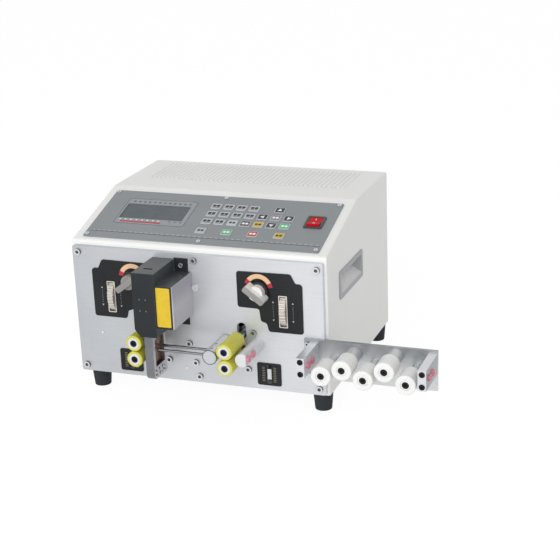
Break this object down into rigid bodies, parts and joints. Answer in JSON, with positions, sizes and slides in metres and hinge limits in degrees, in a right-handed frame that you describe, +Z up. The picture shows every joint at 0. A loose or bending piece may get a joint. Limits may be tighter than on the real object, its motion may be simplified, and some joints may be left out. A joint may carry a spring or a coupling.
{
  "type": "wire cutting and stripping machine",
  "caption": "Benchtop wire cutting and stripping machine: sloped keypad case, front plate with feed rollers and guarded blade head, and a roller straightener at the inlet.",
  "frame": {"origin": "on the bench under the middle of the whole machine, straightener included", "axes": "+X from the outfeed side to the straightener, -Y out of the working side, +Z up"},
  "size_m": [0.5666, 0.4, 0.2834],
  "materials": {
    "case_paint": "semi-gloss warm white paint",
    "plate_aluminium": "fine brushed aluminium",
    "foot_rubber": "matt black rubber",
    "bright_steel": "bright turned steel",
    "panel_grey": "matt grey panel film",
    "display_glass": "dark display glass",
    "black_plastic": "black moulded plastic",
    "red_plastic": "red translucent plastic",
    "black_anodised": "black anodised aluminium",
    "bronze": "bearing bronze",
    "motor_black": "black motor enamel",
    "frame_steel": "ground steel",
    "guard_black": "satin black paint",
    "white_nylon": "white nylon",
    "pink_bush": "pink wire bush",
    "black_steel": "black oxide steel",
    "board_green": "green circuit board",
    "roller_rubber": "yellow green polyurethane",
    "knob_silver": "satin silver",
    "blade_steel": "ground tool steel"
  },
  "bodies": {
    "machine": {"chassis_pan": "case_paint", "case_shell": "case_paint", "front_plate": "plate_aluminium", "rubber_feet": "foot_rubber", "machine_screws": "bright_steel", "control_panel": "panel_grey", "lcd_display": "display_glass", "switch_frame": "black_plastic", "side_handles": "bright_steel", "scale_plates": "black_anodised", "drive_frame": "plate_aluminium", "shaft_bushes": "bronze", "stepper_motors": "motor_black", "blade_frame": "frame_steel", "blade_guard": "guard_black", "guard_side_plate": "bright_steel", "inlet_guide": "white_nylon", "wire_funnels": "pink_bush", "straightener_bracket": "plate_aluminium", "guide_blocks": "plate_aluminium", "straightener_bolts": "black_steel", "drive_belt": "foot_rubber", "main_board": "board_green", "power_supply": "motor_black", "fan_frame": "black_plastic", "power_inlet": "black_plastic", "swing_actuator": "motor_black"},
    "power_rocker": {"rocker_button": "red_plastic"},
    "infeed_lower_roller": {"infeed_lower_tyre": "roller_rubber", "infeed_lower_shaft": "bright_steel"},
    "infeed_upper_roller": {"infeed_upper_tyre": "roller_rubber", "infeed_upper_shaft": "bright_steel"},
    "infeed_arm": {"infeed_lift_arm": "frame_steel"},
    "infeed_knob": {"infeed_release_knob": "knob_silver"},
    "infeed_wheel": {"infeed_gap_wheel": "plate_aluminium"},
    "infeed_pointer": {"infeed_gap_rack": "bright_steel"},
    "outfeed_lower_roller": {"outfeed_lower_tyre": "roller_rubber", "outfeed_lower_shaft": "bright_steel"},
    "outfeed_upper_roller": {"outfeed_upper_tyre": "roller_rubber", "outfeed_upper_shaft": "bright_steel"},
    "outfeed_arm": {"outfeed_lift_arm": "frame_steel"},
    "outfeed_knob": {"outfeed_release_knob": "knob_silver"},
    "outfeed_wheel": {"outfeed_gap_wheel": "plate_aluminium"},
    "outfeed_pointer": {"outfeed_gap_rack": "bright_steel"},
    "blade_lead_screw": {"blade_screw": "frame_steel"},
    "upper_blade_carrier": {"upper_blade_slide": "bronze", "upper_blade": "blade_steel"},
    "lower_blade_carrier": {"lower_blade_slide": "bronze", "lower_blade": "blade_steel"},
    "blade_motor_shaft": {"motor_pulley": "plate_aluminium"},
    "tube_swing": {"tube_boss": "plate_aluminium", "guide_tubes": "bright_steel"},
    "straightener_1": {"straightener_roller_1": "white_nylon"},
    "straightener_2": {"straightener_roller_2": "white_nylon"},
    "straightener_3": {"straightener_roller_3": "white_nylon"},
    "straightener_4": {"straightener_roller_4": "white_nylon"},
    "straightener_5": {"straightener_roller_5": "white_nylon"},
    "adjuster_1": {"adjuster_axle_1": "black_steel"},
    "adjuster_2": {"adjuster_axle_2": "black_steel"},
    "fan_wheel": {"fan_rotor": "black_plastic"}
  },
  "joints": [
    {"name": "rocker_tilt", "type": "hinge", "parent": "machine", "child": "power_rocker", "pos_m": [0.07525, -0.03683, 0.26148], "axis": [1, 0, 0], "range_deg": [0, 18]},
    {"name": "infeed_feed_spin", "type": "hinge", "parent": "machine", "child": "infeed_lower_roller", "pos_m": [-0.01175, -0.109, 0.0887], "axis": [0, -1, 0], "continuous": true},
    {"name": "infeed_release_turn", "type": "hinge", "parent": "machine", "child": "infeed_knob", "pos_m": [0.01825, -0.119, 0.1847], "axis": [0, -1, 0], "range_deg": [0, 90]},
    {"name": "infeed_arm_lift", "type": "hinge", "parent": "machine", "child": "infeed_arm", "pos_m": [-0.06175, -0.105, 0.1133], "axis": [0, -1, 0], "range_deg": [0, 6.3]},
    {"name": "infeed_top_spin", "type": "hinge", "parent": "infeed_arm", "child": "infeed_upper_roller", "pos_m": [-0.01175, -0.109, 0.1133], "axis": [0, -1, 0], "continuous": true},
    {"name": "infeed_wheel_turn", "type": "hinge", "parent": "machine", "child": "infeed_wheel", "pos_m": [0.05395, -0.104, 0.155], "axis": [1, 0, 0], "range_deg": [-56, 56]},
    {"name": "infeed_pointer_slide", "type": "slide", "parent": "machine", "child": "infeed_pointer", "axis": [0, 0, 1], "range_m": [-0.006, 0.006]},
    {"name": "outfeed_feed_spin", "type": "hinge", "parent": "machine", "child": "outfeed_lower_roller", "pos_m": [-0.15175, -0.109, 0.0887], "axis": [0, 1, 0], "continuous": true},
    {"name": "outfeed_release_turn", "type": "hinge", "parent": "machine", "child": "outfeed_knob", "pos_m": [-0.18175, -0.119, 0.1847], "axis": [0, 1, 0], "range_deg": [0, 90]},
    {"name": "outfeed_arm_lift", "type": "hinge", "parent": "machine", "child": "outfeed_arm", "pos_m": [-0.10175, -0.105, 0.1133], "axis": [0, 1, 0], "range_deg": [0, 6.3]},
    {"name": "outfeed_top_spin", "type": "hinge", "parent": "outfeed_arm", "child": "outfeed_upper_roller", "pos_m": [-0.15175, -0.109, 0.1133], "axis": [0, 1, 0], "continuous": true},
    {"name": "outfeed_wheel_turn", "type": "hinge", "parent": "machine", "child": "outfeed_wheel", "pos_m": [-0.21745, -0.104, 0.155], "axis": [1, 0, 0], "range_deg": [-56, 56]},
    {"name": "outfeed_pointer_slide", "type": "slide", "parent": "machine", "child": "outfeed_pointer", "axis": [0, 0, 1], "range_m": [-0.006, 0.006]},
    {"name": "upper_blade_close", "type": "slide", "parent": "machine", "child": "upper_blade_carrier", "axis": [0, 0, -1], "range_m": [0, 0.0085]},
    {"name": "lower_blade_close", "type": "slide", "parent": "machine", "child": "lower_blade_carrier", "axis": [0, 0, 1], "range_m": [0, 0.00851]},
    {"name": "blade_screw_turn", "type": "hinge", "parent": "machine", "child": "blade_lead_screw", "pos_m": [-0.12875, -0.1385, 0.17], "axis": [0, 0, 1], "range_deg": [-1, 766]},
    {"name": "blade_motor_turn", "type": "hinge", "parent": "machine", "child": "blade_motor_shaft", "pos_m": [-0.12875, -0.097, 0.2], "axis": [0, 0, 1], "range_deg": [-1, 766]},
    {"name": "tube_tilt", "type": "hinge", "parent": "machine", "child": "tube_swing", "pos_m": [-0.03675, -0.159, 0.101], "axis": [0, 1, 0], "range_deg": [-7, 7]},
    {"name": "straightener_1_spin", "type": "hinge", "parent": "machine", "child": "straightener_1", "pos_m": [0.13025, -0.169, 0.0915], "axis": [0, 1, 0], "continuous": true},
    {"name": "adjuster_1_slide", "type": "slide", "parent": "machine", "child": "adjuster_1", "axis": [0, 0, 1], "range_m": [-0.005, 0.005]},
    {"name": "straightener_2_spin", "type": "hinge", "parent": "adjuster_1", "child": "straightener_2", "pos_m": [0.16045, -0.169, 0.103], "axis": [0, 1, 0], "continuous": true},
    {"name": "straightener_3_spin", "type": "hinge", "parent": "machine", "child": "straightener_3", "pos_m": [0.19065, -0.169, 0.0915], "axis": [0, 1, 0], "continuous": true},
    {"name": "adjuster_2_slide", "type": "slide", "parent": "machine", "child": "adjuster_2", "axis": [0, 0, 1], "range_m": [-0.005, 0.005]},
    {"name": "straightener_4_spin", "type": "hinge", "parent": "adjuster_2", "child": "straightener_4", "pos_m": [0.22085, -0.169, 0.107], "axis": [0, 1, 0], "continuous": true},
    {"name": "straightener_5_spin", "type": "hinge", "parent": "machine", "child": "straightener_5", "pos_m": [0.25105, -0.169, 0.0915], "axis": [0, 1, 0], "continuous": true},
    {"name": "fan_spin", "type": "hinge", "parent": "machine", "child": "fan_wheel", "pos_m": [-0.17675, 0.186, 0.178], "axis": [0, 1, 0], "continuous": true}
  ],
  "couplings": [
    {"joint": "infeed_arm_lift", "follows": "infeed_release_turn", "ratio": 0.068889},
    {"joint": "infeed_top_spin", "follows": "infeed_feed_spin", "ratio": -1},
    {"joint": "infeed_pointer_slide", "follows": "infeed_wheel_turn", "m_per_rad": 0.006},
    {"joint": "outfeed_arm_lift", "follows": "outfeed_release_turn", "ratio": 0.068889},
    {"joint": "outfeed_top_spin", "follows": "outfeed_feed_spin", "ratio": -1},
    {"joint": "outfeed_pointer_slide", "follows": "outfeed_wheel_turn", "m_per_rad": 0.006},
    {"joint": "lower_blade_close", "follows": "upper_blade_close", "ratio": 1},
    {"joint": "blade_screw_turn", "follows": "upper_blade_close", "rad_per_m": 1570.8},
    {"joint": "blade_motor_turn", "follows": "upper_blade_close", "rad_per_m": 1570.8}
  ]
}
